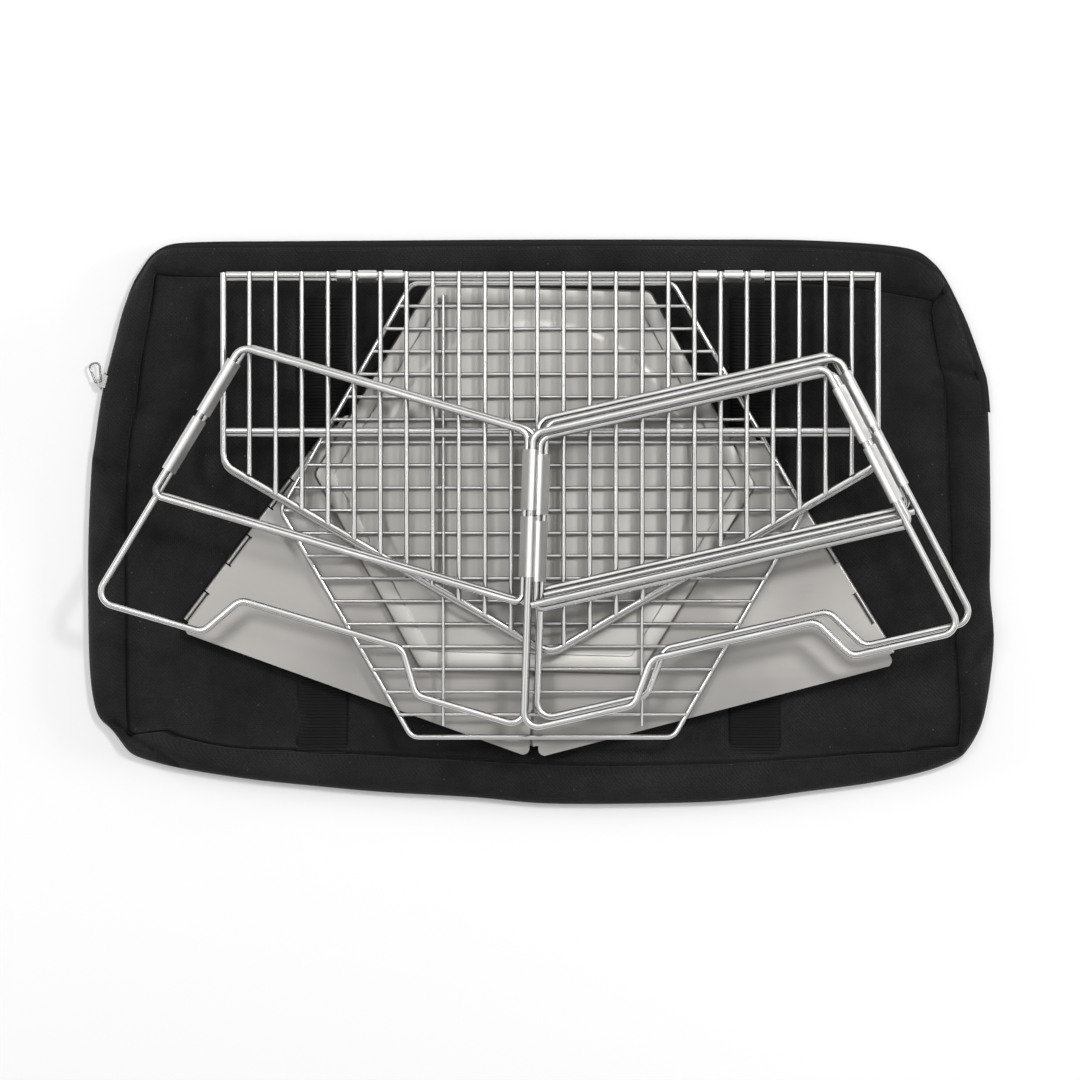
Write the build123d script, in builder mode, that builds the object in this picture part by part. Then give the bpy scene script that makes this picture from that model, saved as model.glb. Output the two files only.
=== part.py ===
from build123d import *
import os
from math import asin, atan2, cos, degrees, radians, sin, sqrt, tan

# A fire bowl grill, packed flat on its carry bag. Millimetres, +X to the right and +Y to the back of
# the pile, Z = 0 on the ground, the origin under the middle of the bag.
os.makedirs("parts", exist_ok=True)

# Play between pieces
rest_gap = 0.3
seam_gap = 0.3
weld_bite = 0.3

# Carry bag
bag_length = 572.0
bag_width = 355.0
bag_top_inset = 36.0
bag_bottom_inset = 11.0
bag_top_crown = 13.0
bag_bottom_crown = 31.0
bag_corner_radius = 32.0
bag_seam_side = 26.0
bag_panel_height = 9.0
bag_back_height = 4.0
bag_gusset_height = 13.0
bag_gusset_round = 4.0
strap_width = 33.0
strap_thickness = 1.8
strap_spacing = 274.0
strap_length = 300.0
strap_offset_x = -1.3

# Zip
zip_tape_thickness = 0.8
zip_tape_width = 7.0
zip_teeth_depth = 1.4
zip_teeth_width = 3.4
zip_height = 6.5
slider_length = 11.0
slider_wall = 0.9
slider_play = 0.4
slider_y = 83.0
slider_travel = 40.0
slider_corner = 1.5
slider_wall_inset = 1.5
eye_width = 1.6
eye_reach = 1.9
eye_back = 3.4
eye_post = 1.8
eye_play = 0.35
pull_wire = 1.3
pull_length = 13.4
pull_width = 7.0
pull_narrow_bend = 0.8
pull_wide_bend = 2.3
pull_tilt = 28.0

# Fire bowl
bowl_x = 3.0
bowl_seam_gap = 1.6
bowl_turn = -2.6
bowl_outer_edge = 239.0
bowl_slant = 172.0
bowl_taper = 17.2
bowl_sheet = 0.8
bowl_corner = 4.0
hem_width = 4.0
hem_thickness = 0.5
knuckle_radius = 1.6
knuckle_count = 7
knuckle_gap = 0.3
open_knuckle_gap = 1.0
bowl_pin_radius = 0.9
bowl_pin_play = 0.08
sheet_to_pin = 2.1
knuckle_notch = 2.8

# Base tray
tray_x = -3.8
tray_y = 26.3
tray_turn = -1.5
tray_side = 140.0
tray_rim_width = 9.5
tray_rim_height = 5.5
tray_sheet = 0.8
tray_corner = 7.0
tray_step_radius = 98.0
tray_step_height = 1.0

# Charcoal grate
coal_x = 1.0
coal_y = 7.0
coal_side = 165.0
coal_frame_wire = 3.3
coal_bar_wire = 2.2
coal_bar_count = 19
coal_corner = 8.0
coal_cross_spacing = 125.0

# Cook grate, two half hexagons
cook_x = 6.0
cook_y = 153.0
cook_side = 237.5
cook_frame_wire = 4.0
cook_bar_wire = 3.0
cook_bar_count = 24
cook_corner = 13.0
cook_end_reach = 1.4
cook_crossbar_depth = 98.0
cook_wire_pitch = 5.0
cook_wire_lean = 2.0
clip_length = 43.0
clip_spacing = 226.0
clip_wall = 0.6
clip_play = 0.25
clip_slot_play = 1.0

# Stand, a ring of three leg frames and three short frames
stand_x = -5.0
stand_y = 55.0
stand_turn = -1.85
stand_top_edge = 188.0
stand_taper = 14.6
stand_wire = 4.5
leg_slant = 186.0
short_slant = 108.0
stand_top_corner = 8.0
leg_foot_corner = 9.0
short_foot_corner = 5.0
foot_length = 71.0
arch_slope_run = 17.0
arch_height = 26.0
arch_bend = 9.0
stand_pitch = 6.3
sleeve_wall = 0.6
sleeve_play = 0.25
sleeve_length = 38.0
sleeve_space = 4.0
sleeve_start = 10.0
hook_play = 0.5
stand_outer_rise = 5.7
stand_middle_rise = 5.2
stand_side_rise = 5.5
slip_outer_low = 4.2
slip_outer_high = 4.5
slip_middle = 9.0
slip_side_low = -7.0


def turned(x, y, angle):
    """The plan vector (x, y) turned about +Z by angle degrees."""
    a = radians(angle)
    return (x * cos(a) - y * sin(a), x * sin(a) + y * cos(a))


def write(builder, name):
    """Labels a finished piece and writes its file."""
    builder.part.label = name
    export_step(builder.part, "parts/" + name + ".step")


class Ring:
    """Six equal-sided trapezoids in a closed ring, folded to a left page of two and a right page of
    four. Page side is +1 right or -1 left. Every panel lies in a plane of its page, at its own
    height and with its own small shift."""

    def __init__(self, x, y, turn, top_edge, taper):
        self.top = (x, y)
        self.turn = turn
        self.top_edge = top_edge
        self.taper = taper
        self.down = turned(0, -1, turn)
        self.right = turned(1, 0, turn)

    def plane(self, side, shift, height):
        """Panel plane: local x along the narrow edge, local y up to it, origin at its middle."""
        axis = turned(*self.down, side * self.taper)
        along = turned(*axis, 90)
        half = side * self.top_edge / 2
        origin = (
            self.top[0] + shift[0] + along[0] * half,
            self.top[1] + shift[1] + along[1] * half,
            height,
        )
        return Plane(origin=origin, x_dir=(along[0], along[1], 0), z_dir=(0, 0, 1))

    def spine_direction(self):
        return (self.down[0], self.down[1], 0)

    def outer_direction(self, side):
        d = turned(*self.down, 2 * side * self.taper)
        return (d[0], d[1], 0)

    def outer_normal(self, side):
        """Plan normal of a page's outer side, away from the spine."""
        d = self.outer_direction(side)
        return turned(d[0], d[1], 90 * side)

    def spine_point(self, shift, height, s):
        """The point at distance s down a panel's spine side."""
        return Vector(
            self.top[0] + shift[0] + self.down[0] * s,
            self.top[1] + shift[1] + self.down[1] * s,
            height,
        )

    def outer_point(self, side, shift, height, s):
        """The point at distance s down a panel's outer side."""
        axis = turned(*self.down, side * self.taper)
        along = turned(*axis, 90)
        d = self.outer_direction(side)
        reach = side * self.top_edge
        return Vector(
            self.top[0] + shift[0] + along[0] * reach + d[0] * s,
            self.top[1] + shift[1] + along[1] * reach + d[1] * s,
            height,
        )


def fold_angle(taper):
    """Angle between neighbouring panels of a regular six-sided ring whose sides taper so much."""
    return 2 * degrees(asin(cos(radians(30)) / cos(radians(taper))))


def wire_loop(name, plane, points, radii, wire):
    """One closed loop of round wire through filleted corner points of a plane."""
    with BuildPart() as loop:
        with BuildLine(plane) as path:
            FilletPolyline(*points, radius=radii, close=True)
        with BuildSketch(Plane(origin=path.line @ 0, z_dir=path.line % 0)):
            Circle(wire / 2)
        sweep()
    write(loop, name)


def wire_bars(name, plane, ends, wire):
    """Straight round wires, each between two points of a plane."""
    with BuildPart() as bars:
        for start, end in ends:
            a = plane.from_local_coords(Vector(*start))
            b = plane.from_local_coords(Vector(*end))
            with BuildSketch(Plane(origin=a, z_dir=b - a)):
                Circle(wire / 2)
            extrude(amount=(b - a).length)
    write(bars, name)


# Bag outline: four bowed sides between rounded corners. The zip stands proud of the back side only,
# so the bag lies half as much forward.
zip_teeth_inner = 2 * rest_gap + zip_tape_thickness
zip_outer = zip_teeth_inner + zip_teeth_depth
bag_y = -zip_outer / 2
bag_back_y = bag_y + bag_width / 2 - bag_top_crown
bag_front_y = bag_y + bag_bottom_crown - bag_width / 2
bag_side_x = bag_length / 2


def bag_sides(inset):
    """The three points of each bowed side of the bag, drawn in by inset, from the back side on."""
    top_x = bag_length / 2 - bag_top_inset - inset
    top_y = bag_back_y - inset
    bottom_x = bag_length / 2 - bag_bottom_inset - inset
    bottom_y = bag_front_y + inset
    side_x = bag_side_x - inset
    middle_y = bag_width / 2 - inset
    return [
        ((top_x, top_y), (0, bag_y + middle_y), (-top_x, top_y)),
        ((-top_x, top_y), (-side_x, bag_y), (-bottom_x, bottom_y)),
        ((-bottom_x, bottom_y), (0, bag_y - middle_y), (bottom_x, bottom_y)),
        ((bottom_x, bottom_y), (side_x, bag_y), (top_x, top_y)),
    ]


def bag_outline(inset):
    """The bag's outline as a sketch, drawn in by inset."""
    with BuildSketch() as outline:
        with BuildLine():
            for points in bag_sides(inset):
                ThreePointArc(*points)
        make_face()
        fillet(outline.vertices(), bag_corner_radius - inset)
    return outline.sketch


def bag_panel(name, low, high):
    with BuildPart() as panel:
        with BuildSketch(Plane.XY.offset(low)):
            add(bag_outline(bag_seam_side + seam_gap))
        extrude(amount=high - low)
    write(panel, name)


bag_panel("bag_back_panel", 0, bag_back_height)
bag_panel("bag_front_panel", bag_back_height, bag_panel_height)

with BuildPart() as bag_gusset:
    with BuildSketch():
        add(bag_outline(0))
    extrude(amount=bag_gusset_height)
    rim = bag_gusset.faces().sort_by(Axis.Z)[-1].edges()
    fillet(rim, bag_gusset_round)
    with BuildSketch(Plane.XY):
        add(bag_outline(bag_seam_side))
    extrude(amount=bag_gusset_height, mode=Mode.SUBTRACT)
write(bag_gusset, "bag_gusset")

strap_top = bag_panel_height + strap_thickness
for side, name in ((-1, "bag_strap_left"), (1, "bag_strap_right")):
    with BuildPart() as strap:
        centre_x = strap_offset_x + side * strap_spacing / 2
        centre_y = (bag_back_y + bag_front_y - bag_seam_side) / 2
        with BuildSketch(Plane.XY.offset(bag_panel_height)):
            with Locations((centre_x, centre_y)):
                Rectangle(strap_width, strap_length - 2 * bag_seam_side)
        extrude(amount=strap_thickness)
    write(strap, name)


def zip_band(name, inner, depth, width):
    """A band that follows the bag's edge from inner to inner + depth outside it, over the top and
    down both sides as far as the side seams."""
    with BuildPart() as band:
        with BuildSketch(Plane.XY.offset(zip_height - width / 2)):
            add(bag_outline(-(inner + depth)))
        extrude(amount=width)
        with BuildSketch(Plane.XY.offset(zip_height - width / 2)):
            add(bag_outline(-inner))
        extrude(amount=width, mode=Mode.SUBTRACT)
        with BuildSketch(Plane.XY.offset(zip_height - width / 2)):
            with Locations((0, slider_y - bag_width)):
                Rectangle(2 * bag_length, 2 * bag_width)
        extrude(amount=width, mode=Mode.SUBTRACT)
    write(band, name)


zip_band("zip_tape", rest_gap, zip_tape_thickness, zip_tape_width)
zip_band("zip_teeth", zip_teeth_inner, zip_teeth_depth, zip_teeth_width)

# Zip slider on the bag's left side, seen from outside: local x along its travel, local z outward
side_arc = ThreePointArc(*bag_sides(-zip_outer)[1])


def zip_point(y):
    """The point of the coil's outer face at a given y on the left side."""
    centre = side_arc.arc_center
    return Vector(centre.X - sqrt(side_arc.radius**2 - (y - centre.Y) ** 2), y, zip_height)


slider_start = zip_point(slider_y + slider_length / 2)
slider_end = zip_point(slider_y + slider_length / 2 + slider_travel)
slider_axis = (slider_end - slider_start).normalized()
slider_out = Vector(-slider_axis.Y, slider_axis.X, 0)
slider_plane = Plane(origin=slider_start, x_dir=slider_axis, z_dir=slider_out)
slider_half = zip_teeth_width / 2 + slider_play + slider_wall
pull_axis_x, pull_axis_y = turned(slider_out.X, slider_out.Y, pull_tilt)
pull_line_x, pull_line_y = turned(slider_axis.X, slider_axis.Y, pull_tilt)
eye_hole = pull_wire / 2 + eye_play
eye_root = slider_play + slider_wall
eye_sink = (eye_back * sin(radians(pull_tilt)) - slider_wall) / cos(radians(pull_tilt))
pull_eye = slider_start + slider_out * eye_root
pull_plane = Plane(
    origin=pull_eye, x_dir=(pull_line_x, pull_line_y, 0), z_dir=(pull_axis_x, pull_axis_y, 0)
)
leg_room = pull_wire + 2 * rest_gap
pull_pivot = pull_eye + Vector(pull_axis_x, pull_axis_y, 0) * (leg_room + eye_width / 2)

with BuildPart() as zip_slider:
    with BuildSketch(slider_plane.offset(slider_play)):
        RectangleRounded(slider_length, 2 * slider_half, slider_corner)
    extrude(amount=slider_wall)
    with BuildSketch(slider_plane.offset(-zip_teeth_depth)):
        with GridLocations(0, 2 * slider_half - slider_wall, 1, 2):
            Rectangle(slider_length - 2 * slider_wall_inset, slider_wall)
    extrude(amount=zip_teeth_depth + eye_root)
    with BuildSketch(pull_plane.offset(eye_sink)):
        with Locations((eye_post / 2 - eye_back, 0)):
            Rectangle(eye_post, 2 * eye_reach)
    extrude(amount=leg_room + eye_width - eye_sink)
    with BuildSketch(pull_plane.offset(leg_room)):
        with Locations(((eye_reach - eye_back) / 2, 0)):
            Rectangle(eye_reach + eye_back, 2 * eye_reach)
        Circle(eye_hole, mode=Mode.SUBTRACT)
    extrude(amount=eye_width)
write(zip_slider, "zip_slider")

# The pull is a closed loop of wire through the slider's eye, flat in the horizontal plane
pull_narrow = eye_width + 2 * rest_gap + pull_wire
pull_loop_plane = Plane(origin=pull_pivot, x_dir=(pull_line_x, pull_line_y, 0), z_dir=(0, 0, 1))
pull_far = pull_length - pull_wire
wire_loop(
    "zip_pull",
    pull_loop_plane,
    [
        (0, -pull_narrow / 2),
        (pull_far, -pull_width / 2),
        (pull_far, pull_width / 2),
        (0, pull_narrow / 2),
    ],
    [pull_narrow_bend, pull_wide_bend, pull_wide_bend, pull_narrow_bend],
    pull_wire,
)

# Fire bowl: the lowest petal lies on the straps, the others above it in two pages
bowl_narrow_edge = bowl_outer_edge - 2 * bowl_slant * sin(radians(bowl_taper))
bowl_y = bowl_slant + bowl_seam_gap + bag_seam_side - bag_width / 2
bowl = Ring(bowl_x, bowl_y, bowl_turn, bowl_narrow_edge, bowl_taper)
bowl_rise = 2 * sheet_to_pin
bowl_low = strap_top + rest_gap + bowl_sheet / 2
petal_side = {1: -1, 2: -1, 3: 1, 4: 1, 5: 1, 6: 1}
petal_height = {
    6: bowl_low,
    5: bowl_low + bowl_rise,
    4: bowl_low + 2 * bowl_rise,
    3: bowl_low + 3 * bowl_rise,
    1: bowl_low + bowl_rise,
    2: bowl_low + 2 * bowl_rise,
}
knuckle_pitch = (bowl_slant - 4 * bowl_corner) / knuckle_count
bowl_shift = (0, 0)


def hinge_height(a, b):
    return (petal_height[a] + petal_height[b]) / 2


def hinge_point(at_spine, side, height, s):
    """A point of a bowl hinge line."""
    if at_spine:
        return bowl.spine_point(bowl_shift, height, s)
    return bowl.outer_point(side, bowl_shift, height, s)


def hinge_direction(at_spine, side):
    return Vector(bowl.spine_direction() if at_spine else bowl.outer_direction(side))


def knuckle_spans(own_first, gap):
    """The stretches of a hinge line that one petal's knuckles take."""
    first = 0 if own_first else 1
    start = 2 * bowl_corner
    return [
        (start + i * knuckle_pitch + gap / 2, start + (i + 1) * knuckle_pitch - gap / 2)
        for i in range(first, knuckle_count, 2)
    ]


# Each petal's neighbours: the one at the spine and the one at the outer side
petal_hinges = {1: (6, 2), 2: (3, 1), 3: (2, 4), 4: (5, 3), 5: (4, 6), 6: (1, 5)}


def make_petal(number):
    """One sheet petal with a hemmed outer edge, and on both slanting sides lugs that rise into
    rolled knuckles."""
    side = petal_side[number]
    height = petal_height[number]
    own_first = number % 2 == 1
    plane = bowl.plane(side, bowl_shift, height)
    inset = knuckle_notch / cos(radians(bowl_taper))
    half_narrow = bowl.top_edge / 2 - inset
    half_wide = bowl_outer_edge / 2 - inset
    depth = bowl_slant * cos(radians(bowl_taper))
    with BuildPart() as petal:
        with BuildSketch(plane.offset(-bowl_sheet / 2)) as blank:
            Polygon(
                (-half_narrow, 0), (half_narrow, 0), (half_wide, -depth), (-half_wide, -depth), align=None
            )
            fillet(blank.vertices(), bowl_corner)
        extrude(amount=bowl_sheet)
        with BuildSketch(plane.offset(bowl_sheet / 2)):
            with Locations((0, -depth + hem_width / 2)):
                Rectangle(2 * (half_wide - bowl_corner), hem_width)
        extrude(amount=hem_thickness)
        for at_spine, other in zip((True, False), petal_hinges[number]):
            direction = hinge_direction(at_spine, side)
            pin_height = hinge_height(number, other)
            open_joint = {number, other} == {1, 2}
            gap = open_knuckle_gap if open_joint else knuckle_gap
            inward = Vector(-direction.Y, direction.X, 0) * (side if at_spine else -side)
            for low, high in knuckle_spans(own_first, gap):
                foot = hinge_point(at_spine, side, height - bowl_sheet / 2, (low + high) / 2)
                lug_reach = knuckle_notch + bowl_sheet - knuckle_gap / 2
                lug_middle = foot + inward * (knuckle_gap + lug_reach) / 2
                with BuildSketch(Plane(origin=lug_middle, x_dir=direction, z_dir=(0, 0, 1))):
                    Rectangle(high - low, lug_reach)
                extrude(amount=bowl_sheet)
                riser_middle = foot + inward * (knuckle_gap + bowl_sheet) / 2
                riser_middle.Z = min(height, pin_height)
                with BuildSketch(Plane(origin=riser_middle, x_dir=direction, z_dir=(0, 0, 1))):
                    Rectangle(high - low, bowl_sheet)
                extrude(amount=sheet_to_pin)
                start = hinge_point(at_spine, side, pin_height, low)
                with BuildSketch(Plane(origin=start, z_dir=direction)):
                    Circle(knuckle_radius)
                extrude(amount=high - low)
            bore_start = hinge_point(at_spine, side, pin_height, 0)
            with BuildSketch(Plane(origin=bore_start, z_dir=direction)):
                Circle(bowl_pin_radius + bowl_pin_play)
            extrude(amount=bowl_slant, mode=Mode.SUBTRACT)
    write(petal, f"bowl_petal_{number}")


for number in range(1, 7):
    make_petal(number)


def make_bowl_pin(first, second):
    """A pin through every knuckle of one hinge."""
    at_spine = petal_hinges[first][0] == second
    side = petal_side[first]
    height = hinge_height(first, second)
    direction = hinge_direction(at_spine, side)
    with BuildPart() as pin:
        start = hinge_point(at_spine, side, height, 2 * bowl_corner - knuckle_gap)
        with BuildSketch(Plane(origin=start, z_dir=direction)):
            Circle(bowl_pin_radius)
        extrude(amount=knuckle_count * knuckle_pitch + 2 * knuckle_gap)
    write(pin, f"bowl_pin_{first}_{second}")


for first, second in ((3, 2), (3, 4), (5, 4), (5, 6), (1, 6)):
    make_bowl_pin(first, second)

# The pin of the first hinge is cut into stubs that stay in the first petal's knuckles
with BuildPart() as stub_pins:
    for low, high in knuckle_spans(True, open_knuckle_gap):
        with BuildSketch(
            Plane(
                origin=hinge_point(False, -1, hinge_height(1, 2), low),
                z_dir=hinge_direction(False, -1),
            )
        ):
            Circle(bowl_pin_radius)
        extrude(amount=high - low)
write(stub_pins, "bowl_pin_1_2")

# Base tray: a hexagonal sheet with a sloping rim and a round pressed step
tray_low = petal_height[3] + bowl_sheet / 2 + hem_thickness + rest_gap
tray_plane = Plane(
    origin=(tray_x, tray_y, tray_low), x_dir=(*turned(1, 0, tray_turn), 0), z_dir=(0, 0, 1)
)
rim_slope = degrees(atan2(tray_rim_width, tray_rim_height))
tray_floor_side = tray_side - tray_rim_width / cos(radians(30))
with BuildPart() as base_tray:
    with BuildSketch(tray_plane) as floor:
        RegularPolygon(tray_floor_side, 6)
        fillet(floor.vertices(), tray_corner)
    extrude(amount=tray_rim_height, taper=-rim_slope)
    with BuildSketch(tray_plane.offset(tray_sheet)) as hollow:
        RegularPolygon(tray_floor_side, 6)
        fillet(hollow.vertices(), tray_corner)
    extrude(amount=tray_rim_height, taper=-rim_slope, mode=Mode.SUBTRACT)
    with BuildSketch(tray_plane.offset(tray_sheet)):
        Circle(tray_step_radius)
    extrude(amount=tray_step_height)
    with BuildSketch(tray_plane):
        Circle(tray_step_radius - tray_sheet)
    extrude(amount=tray_step_height, mode=Mode.SUBTRACT)
write(base_tray, "base_tray")
tray_top = tray_low + tray_rim_height

# Charcoal grate: a hexagon of wire, bars across it and two cross wires on the bars
coal_plane = Plane(origin=(coal_x, coal_y, tray_top + rest_gap + coal_frame_wire / 2), z_dir=(0, 0, 1))
coal_points = [(coal_side * cos(radians(60 * i)), coal_side * sin(radians(60 * i))) for i in range(6)]
wire_loop("coal_frame", coal_plane, coal_points, coal_corner, coal_frame_wire)
coal_half = coal_side * cos(radians(30))
coal_bar_rise = (coal_frame_wire + coal_bar_wire) / 2 - weld_bite
coal_bar_pitch = 2 * coal_half / (coal_bar_count + 1)
coal_bar_ends = []
for i in range(1, coal_bar_count + 1):
    y = -coal_half + i * coal_bar_pitch
    reach = coal_side - abs(y) * tan(radians(30))
    if 2 * i == coal_bar_count + 1:
        reach -= coal_bar_wire
    coal_bar_ends.append(((-reach, y, coal_bar_rise), (reach, y, coal_bar_rise)))
wire_bars("coal_bars", coal_plane, coal_bar_ends, coal_bar_wire)
coal_cross_rise = coal_bar_rise + coal_bar_wire - weld_bite
coal_cross_reach = coal_half - coal_bar_pitch / 2
coal_cross_ends = [
    ((x, -coal_cross_reach, coal_cross_rise), (x, coal_cross_reach, coal_cross_rise))
    for x in (-coal_cross_spacing / 2, coal_cross_spacing / 2)
]
wire_bars("coal_cross_wires", coal_plane, coal_cross_ends, coal_bar_wire)
coal_top = coal_plane.origin.Z + coal_cross_rise + coal_bar_wire / 2

# Cook grate: two half hexagons one over the other, their bars facing outward
cook_bar_rise = (cook_frame_wire + cook_bar_wire) / 2 - weld_bite
cook_lower_z = coal_top + rest_gap + cook_bar_wire / 2 + cook_bar_rise
cook_wire_lift = sqrt(cook_wire_pitch**2 - cook_wire_lean**2)
cook_half_width = cook_side * cos(radians(30))
cook_bar_pitch = 2 * cook_half_width / (cook_bar_count + 1)


def make_cook_half(name, plane, bar_side):
    """A half hexagon of wire with bars across it on one side and a crossbar in its plane."""
    points = [
        (-cook_half_width, cook_end_reach),
        (-cook_half_width, -cook_side / 2),
        (0, -cook_side),
        (cook_half_width, -cook_side / 2),
        (cook_half_width, cook_end_reach),
    ]
    reach = cook_half_width - cook_frame_wire / 2 + weld_bite
    with BuildPart() as frame:
        with BuildLine(plane) as path:
            FilletPolyline(*points, radius=cook_corner)
        with BuildSketch(Plane(origin=path.line @ 0, z_dir=path.line % 0)):
            Circle(cook_frame_wire / 2)
        sweep()
        with BuildSketch(Plane(origin=plane.from_local_coords(Vector(-reach, 0, 0)), z_dir=plane.x_dir)):
            Circle(cook_frame_wire / 2)
        extrude(amount=2 * reach)
    write(frame, f"cook_{name}_frame")
    ends = []
    for i in range(1, cook_bar_count + 1):
        x = -cook_half_width + i * cook_bar_pitch
        low = -cook_side + abs(x) * tan(radians(30))
        if i in (1, cook_bar_count):
            low += cook_bar_wire
        z = bar_side * cook_bar_rise
        ends.append(((x, cook_frame_wire / 2, z), (x, low, z)))
    wire_bars(f"cook_{name}_bars", plane, ends, cook_bar_wire)
    crossbar = [((-reach, -cook_crossbar_depth, 0), (reach, -cook_crossbar_depth, 0))]
    wire_bars(f"cook_{name}_crossbar", plane, crossbar, cook_frame_wire)


cook_lower_plane = Plane(origin=(cook_x, cook_y, cook_lower_z), z_dir=(0, 0, 1))
cook_upper_plane = Plane(
    origin=(cook_x, cook_y + cook_wire_lean, cook_lower_z + cook_wire_lift), z_dir=(0, 0, 1)
)
make_cook_half("lower", cook_lower_plane, -1)
make_cook_half("upper", cook_upper_plane, 1)
cook_top = cook_upper_plane.origin.Z + cook_bar_rise + cook_bar_wire / 2

# Sheet clips: two rolled eyes side by side round the middle wires, slotted where the bars pass
clip_hole = cook_frame_wire / 2 + clip_play
clip_middle = (cook_lower_plane.origin + cook_upper_plane.origin) * 0.5
clip_lean = Vector(0, cook_wire_lean, cook_wire_lift).normalized()
clip_web = cook_wire_pitch - 2 * clip_hole
for side, name in ((-1, "cook_clip_left"), (1, "cook_clip_right")):
    with BuildPart() as clip:
        centre_x = cook_x + side * clip_spacing / 2
        start = Vector(centre_x - clip_length / 2, clip_middle.Y, clip_middle.Z)
        clip_plane = Plane(origin=start, x_dir=clip_lean, z_dir=(1, 0, 0))
        with BuildSketch(clip_plane):
            SlotCenterToCenter(cook_wire_pitch, 2 * (clip_hole + clip_wall))
            with GridLocations(cook_wire_pitch, 0, 2, 1):
                Circle(clip_hole, mode=Mode.SUBTRACT)
        extrude(amount=clip_length)
        for i in range(1, cook_bar_count + 1):
            bar_x = cook_x - cook_half_width + i * cook_bar_pitch
            if abs(bar_x - centre_x) < clip_length / 2 + cook_bar_wire / 2:
                slot_start = Vector(bar_x - cook_bar_wire / 2 - clip_slot_play, clip_middle.Y, clip_middle.Z)
                with BuildSketch(Plane(origin=slot_start, x_dir=clip_lean, z_dir=(1, 0, 0))):
                    with GridLocations(4 * clip_hole + clip_web, 0, 2, 1):
                        Rectangle(4 * clip_hole, 4 * cook_frame_wire)
                    with GridLocations(0, 8 * clip_hole, 1, 2):
                        Rectangle(8 * clip_hole, 7 * clip_hole)
                extrude(amount=cook_bar_wire + 2 * clip_slot_play, mode=Mode.SUBTRACT)
    write(clip, name)

# Stand: panel heights and plan shifts, from the lowest short frame up
stand = Ring(stand_x, stand_y, stand_turn, stand_top_edge, stand_taper)
sleeve_outer = stand_wire / 2 + sleeve_play + sleeve_wall
stand_low = cook_top + rest_gap + sleeve_outer
frame_side = {1: -1, 2: -1, 3: 1, 4: 1, 5: 1, 6: 1}
frame_height = {6: stand_low}
frame_height[5] = frame_height[6] + stand_outer_rise
frame_height[4] = frame_height[5] + stand_middle_rise
frame_height[3] = frame_height[4] + stand_outer_rise
frame_height[1] = frame_height[6] + stand_side_rise
frame_height[2] = frame_height[3] - stand_side_rise


def plan_gap(rise):
    """Plan distance between two hinged wires whose heights differ by rise."""
    return sqrt(stand_pitch**2 - rise**2)


def moved(shift, normal, gap, line, slip):
    """A plan shift moved by gap along a hinge's normal and by slip down its line."""
    return (
        shift[0] + normal[0] * gap + line[0] * slip,
        shift[1] + normal[1] * gap + line[1] * slip,
    )


outer_line = stand.outer_direction(1)
outer_gap = plan_gap(stand_outer_rise)
frame_shift = {3: (0, 0)}
middle_gap = plan_gap(stand_middle_rise)
side_gap = plan_gap(stand_side_rise)
frame_shift[4] = moved(frame_shift[3], stand.outer_normal(1), outer_gap, outer_line, slip_outer_high)
frame_shift[5] = moved(frame_shift[4], stand.right, middle_gap, stand.down, -slip_middle)
frame_shift[6] = moved(frame_shift[5], stand.outer_normal(1), -outer_gap, outer_line, -slip_outer_low)
frame_shift[1] = moved(frame_shift[6], stand.right, -side_gap, stand.down, -slip_side_low)
frame_shift[2] = moved(frame_shift[3], stand.right, -side_gap, stand.down, 0)
# The second frame slides along its spine wire until its outer wire lies one pitch from the first's
left_normal = stand.outer_normal(-1)
left_rise = frame_height[2] - frame_height[1]
left_gap = (frame_shift[1][0] - frame_shift[2][0]) * left_normal[0] + (
    frame_shift[1][1] - frame_shift[2][1]
) * left_normal[1]
left_slide = (left_gap + plan_gap(left_rise)) / (
    stand.down[0] * left_normal[0] + stand.down[1] * left_normal[1]
)
frame_shift[2] = moved(frame_shift[2], stand.right, 0, stand.down, left_slide)


def make_leg_frame(number):
    """A tall frame whose foot edge is arched in the middle, and its crossbar."""
    plane = stand.plane(frame_side[number], frame_shift[number], frame_height[number])
    half_top = stand_top_edge / 2
    half_foot = half_top + leg_slant * sin(radians(stand_taper))
    depth = leg_slant * cos(radians(stand_taper))
    foot_end = half_foot - foot_length
    arch_end = foot_end - arch_slope_run
    points = [(half_top, 0), (half_foot, -depth), (foot_end, -depth), (arch_end, arch_height - depth)]
    points += [(-x, y) for x, y in reversed(points)]
    radii = [stand_top_corner, leg_foot_corner, arch_bend, arch_bend]
    radii += radii[::-1]
    wire_loop(f"leg_frame_{number}", plane, points, radii, stand_wire)
    bar_depth = short_slant * cos(radians(stand_taper))
    reach = half_top + short_slant * sin(radians(stand_taper))
    reach += weld_bite - stand_wire / 2 / cos(radians(stand_taper))
    crossbar = [((-reach, -bar_depth, 0), (reach, -bar_depth, 0))]
    wire_bars(f"leg_crossbar_{number}", plane, crossbar, stand_wire)


def make_short_frame(number):
    """A short frame: a plain trapezoid of wire."""
    plane = stand.plane(frame_side[number], frame_shift[number], frame_height[number])
    half_top = stand_top_edge / 2
    half_foot = half_top + short_slant * sin(radians(stand_taper))
    depth = short_slant * cos(radians(stand_taper))
    points = [(half_top, 0), (half_foot, -depth), (-half_foot, -depth), (-half_top, 0)]
    radii = [stand_top_corner, short_foot_corner, short_foot_corner, stand_top_corner]
    wire_loop(f"short_frame_{number}", plane, points, radii, stand_wire)


for number in (1, 3, 5):
    make_leg_frame(number)
for number in (2, 4, 6):
    make_short_frame(number)


def side_point(number, at_spine, s):
    """The point at distance s down one side wire of a frame."""
    shift = frame_shift[number]
    height = frame_height[number]
    if at_spine:
        return stand.spine_point(shift, height, s)
    return stand.outer_point(frame_side[number], shift, height, s)


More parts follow.
